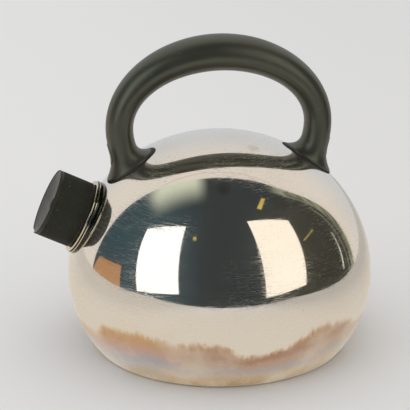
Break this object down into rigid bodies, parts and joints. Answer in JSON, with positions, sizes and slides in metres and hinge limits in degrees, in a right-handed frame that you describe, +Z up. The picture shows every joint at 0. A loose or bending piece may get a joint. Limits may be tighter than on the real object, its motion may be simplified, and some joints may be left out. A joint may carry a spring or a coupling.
{
  "type": "tea kettle",
  "caption": "Round polished steel whistling tea kettle with a black arched handle and a ribbed black cap that pushes into its spout.",
  "frame": {"origin": "centre of the flat base, on the kettle's own axis, at the height of the surface it stands on", "axes": "+Z up along the kettle's axis; -X towards the spout, in whose plane the handle also lies"},
  "size_m": [0.2366, 0.2138, 0.2198],
  "materials": {
    "polished_steel": "mirror polished stainless steel with a faint heat tint low down",
    "satin_steel": "satin stainless steel",
    "base_steel": "heat-tinted stainless steel",
    "spreader_aluminium": "plain aluminium",
    "black_phenolic": "satin black phenolic",
    "silicone": "soft dark silicone"
  },
  "bodies": {
    "root": {"body_shell": "polished_steel", "base_pan": "satin_steel", "heat_spreader": "spreader_aluminium", "base_cover": "base_steel", "spout_collar": "polished_steel", "handle_arch": "black_phenolic", "front_handle_bracket": "satin_steel", "rear_handle_bracket": "satin_steel", "front_foot_gasket": "silicone", "rear_foot_gasket": "silicone", "front_handle_washer": "satin_steel", "rear_handle_washer": "satin_steel", "front_handle_screw": "satin_steel", "rear_handle_screw": "satin_steel", "front_screw_cover": "black_phenolic", "rear_screw_cover": "black_phenolic"},
    "seal": {"cap_seal": "silicone"},
    "cap": {"cap_barrel": "black_phenolic", "cap_face": "black_phenolic", "cap_plug": "black_phenolic", "whistle_cup": "satin_steel", "whistle_disc": "satin_steel"}
  },
  "joints": [
    {"name": "cap_pull", "type": "slide", "parent": "root", "child": "seal", "axis": [-0.8988, 0, 0.4384], "range_m": [0, 0.05]},
    {"name": "cap_twist", "type": "hinge", "parent": "seal", "child": "cap", "pos_m": [-0.0946, 0, 0.095], "axis": [-0.8988, 0, 0.4384], "continuous": true}
  ]
}
